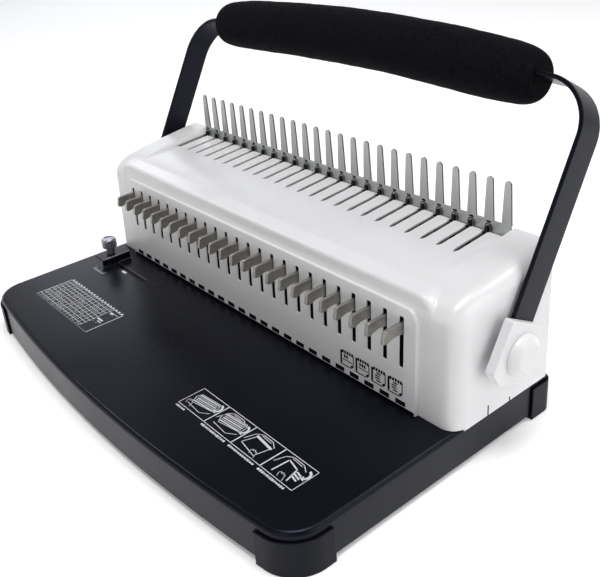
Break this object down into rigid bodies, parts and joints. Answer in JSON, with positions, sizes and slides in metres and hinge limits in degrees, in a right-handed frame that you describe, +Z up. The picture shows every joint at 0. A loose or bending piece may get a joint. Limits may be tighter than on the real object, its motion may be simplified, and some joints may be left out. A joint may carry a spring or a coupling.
{
  "type": "comb binding machine",
  "caption": "Manual desktop comb binder: black paper tray, white punch housing with pull tabs in front, comb tines on top and a padded bail handle that swings forward.",
  "frame": {"origin": "on the surface it stands on, under the middle of the whole machine at rest", "axes": "+X to the operator's right along the comb, +Y to the back, +Z up"},
  "size_m": [0.446, 0.2952, 0.2461],
  "materials": {
    "black_steel": "satin black powder coat",
    "foot_plastic": "black, lightly textured",
    "white_plastic": "white, semi-gloss moulded",
    "foam": "black foam rubber sleeve",
    "tab_steel": "brushed, warm grey",
    "zinc_steel": "zinc plated sheet",
    "tool_steel": "ground tool steel",
    "spring_steel": "bright drawn wire",
    "bronze": "sintered bronze",
    "dark_chrome": "dark chrome, knurled"
  },
  "bodies": {
    "root": {"base_plate": "black_steel", "foot_front_left": "foot_plastic", "foot_front_right": "foot_plastic", "foot_back_left": "foot_plastic", "foot_back_right": "foot_plastic", "casing": "white_plastic", "rear_panel": "white_plastic", "side_frame_left": "zinc_steel", "side_frame_right": "zinc_steel", "bushing_left": "bronze", "bushing_right": "bronze", "die_bar": "tool_steel", "guide_bar": "tool_steel", "tine_plate": "zinc_steel", "drawer_rail_front": "zinc_steel", "drawer_rail_back": "zinc_steel", "return_spring_left": "spring_steel", "return_spring_right": "spring_steel"},
    "handle": {"main_shaft": "tool_steel", "cam_left": "tool_steel", "cam_right": "tool_steel", "opener_lever_left": "zinc_steel", "opener_lever_right": "zinc_steel", "handle_bar": "black_steel", "grip": "foam", "hub_left": "white_plastic", "hub_right": "white_plastic", "hub_cap_left": "white_plastic", "hub_cap_right": "white_plastic"},
    "punch": {"punch_beam": "zinc_steel", "punch_pins": "tool_steel"},
    "hooks": {"hook_plate": "zinc_steel"},
    "drawer": {"chip_drawer": "foot_plastic"},
    "edge_guide": {"guide_bracket": "black_steel", "clamp_nut": "zinc_steel"},
    "guide_screw": {"thumb_screw": "dark_chrome"},
    "tab_01": {"release_tab_01": "tab_steel"},
    "tab_02": {"release_tab_02": "tab_steel"},
    "tab_03": {"release_tab_03": "tab_steel"},
    "tab_04": {"release_tab_04": "tab_steel"},
    "tab_05": {"release_tab_05": "tab_steel"},
    "tab_06": {"release_tab_06": "tab_steel"},
    "tab_07": {"release_tab_07": "tab_steel"},
    "tab_08": {"release_tab_08": "tab_steel"},
    "tab_09": {"release_tab_09": "tab_steel"},
    "tab_10": {"release_tab_10": "tab_steel"},
    "tab_11": {"release_tab_11": "tab_steel"},
    "tab_12": {"release_tab_12": "tab_steel"},
    "tab_13": {"release_tab_13": "tab_steel"},
    "tab_14": {"release_tab_14": "tab_steel"},
    "tab_15": {"release_tab_15": "tab_steel"},
    "tab_16": {"release_tab_16": "tab_steel"},
    "tab_17": {"release_tab_17": "tab_steel"},
    "tab_18": {"release_tab_18": "tab_steel"},
    "tab_19": {"release_tab_19": "tab_steel"},
    "tab_20": {"release_tab_20": "tab_steel"},
    "tab_21": {"release_tab_21": "tab_steel"},
    "tab_22": {"release_tab_22": "tab_steel"},
    "tab_23": {"release_tab_23": "tab_steel"},
    "tab_24": {"release_tab_24": "tab_steel"}
  },
  "joints": [
    {"name": "handle_swing", "type": "hinge", "parent": "root", "child": "handle", "pos_m": [0, 0.04303, 0.0731], "axis": [1, 0, 0], "range_deg": [0, 80]},
    {"name": "punch_slide", "type": "slide", "parent": "root", "child": "punch", "axis": [0, 0, -1], "range_m": [0, 0.0201], "deforming": ["return_spring_left", "return_spring_right"]},
    {"name": "hook_slide", "type": "slide", "parent": "root", "child": "hooks", "axis": [0, -1, 0], "range_m": [0, 0.0262]},
    {"name": "drawer_slide", "type": "slide", "parent": "root", "child": "drawer", "axis": [-1, 0, 0], "range_m": [0, 0.34]},
    {"name": "guide_slide", "type": "slide", "parent": "root", "child": "edge_guide", "axis": [1, 0, 0], "range_m": [-0.01, 0.052]},
    {"name": "guide_screw_turn", "type": "hinge", "parent": "edge_guide", "child": "guide_screw", "pos_m": [-0.178, -0.03057, 0.031], "axis": [0, 0, 1], "range_deg": [0, 360]},
    {"name": "tab_01_pull", "type": "slide", "parent": "punch", "child": "tab_01", "axis": [0, -1, 0], "range_m": [0, 0.008]},
    {"name": "tab_02_pull", "type": "slide", "parent": "punch", "child": "tab_02", "axis": [0, -1, 0], "range_m": [0, 0.008]},
    {"name": "tab_03_pull", "type": "slide", "parent": "punch", "child": "tab_03", "axis": [0, -1, 0], "range_m": [0, 0.008]},
    {"name": "tab_04_pull", "type": "slide", "parent": "punch", "child": "tab_04", "axis": [0, -1, 0], "range_m": [0, 0.008]},
    {"name": "tab_05_pull", "type": "slide", "parent": "punch", "child": "tab_05", "axis": [0, -1, 0], "range_m": [0, 0.008]},
    {"name": "tab_06_pull", "type": "slide", "parent": "punch", "child": "tab_06", "axis": [0, -1, 0], "range_m": [0, 0.008]},
    {"name": "tab_07_pull", "type": "slide", "parent": "punch", "child": "tab_07", "axis": [0, -1, 0], "range_m": [0, 0.008]},
    {"name": "tab_08_pull", "type": "slide", "parent": "punch", "child": "tab_08", "axis": [0, -1, 0], "range_m": [0, 0.008]},
    {"name": "tab_09_pull", "type": "slide", "parent": "punch", "child": "tab_09", "axis": [0, -1, 0], "range_m": [0, 0.008]},
    {"name": "tab_10_pull", "type": "slide", "parent": "punch", "child": "tab_10", "axis": [0, -1, 0], "range_m": [0, 0.008]},
    {"name": "tab_11_pull", "type": "slide", "parent": "punch", "child": "tab_11", "axis": [0, -1, 0], "range_m": [0, 0.008]},
    {"name": "tab_12_pull", "type": "slide", "parent": "punch", "child": "tab_12", "axis": [0, -1, 0], "range_m": [0, 0.008]},
    {"name": "tab_13_pull", "type": "slide", "parent": "punch", "child": "tab_13", "axis": [0, -1, 0], "range_m": [0, 0.008]},
    {"name": "tab_14_pull", "type": "slide", "parent": "punch", "child": "tab_14", "axis": [0, -1, 0], "range_m": [0, 0.008]},
    {"name": "tab_15_pull", "type": "slide", "parent": "punch", "child": "tab_15", "axis": [0, -1, 0], "range_m": [0, 0.008]},
    {"name": "tab_16_pull", "type": "slide", "parent": "punch", "child": "tab_16", "axis": [0, -1, 0], "range_m": [0, 0.008]},
    {"name": "tab_17_pull", "type": "slide", "parent": "punch", "child": "tab_17", "axis": [0, -1, 0], "range_m": [0, 0.008]},
    {"name": "tab_18_pull", "type": "slide", "parent": "punch", "child": "tab_18", "axis": [0, -1, 0], "range_m": [0, 0.008]},
    {"name": "tab_19_pull", "type": "slide", "parent": "punch", "child": "tab_19", "axis": [0, -1, 0], "range_m": [0, 0.008]},
    {"name": "tab_20_pull", "type": "slide", "parent": "punch", "child": "tab_20", "axis": [0, -1, 0], "range_m": [0, 0.008]},
    {"name": "tab_21_pull", "type": "slide", "parent": "punch", "child": "tab_21", "axis": [0, -1, 0], "range_m": [0, 0.008]},
    {"name": "tab_22_pull", "type": "slide", "parent": "punch", "child": "tab_22", "axis": [0, -1, 0], "range_m": [0, 0.008]},
    {"name": "tab_23_pull", "type": "slide", "parent": "punch", "child": "tab_23", "axis": [0, -1, 0], "range_m": [0, 0.008]},
    {"name": "tab_24_pull", "type": "slide", "parent": "punch", "child": "tab_24", "axis": [0, -1, 0], "range_m": [0, 0.008]}
  ],
  "couplings": [
    {"joint": "punch_slide", "follows": "handle_swing", "m_per_rad": 0.014324},
    {"joint": "hook_slide", "follows": "handle_swing", "m_per_rad": 0.018635}
  ]
}
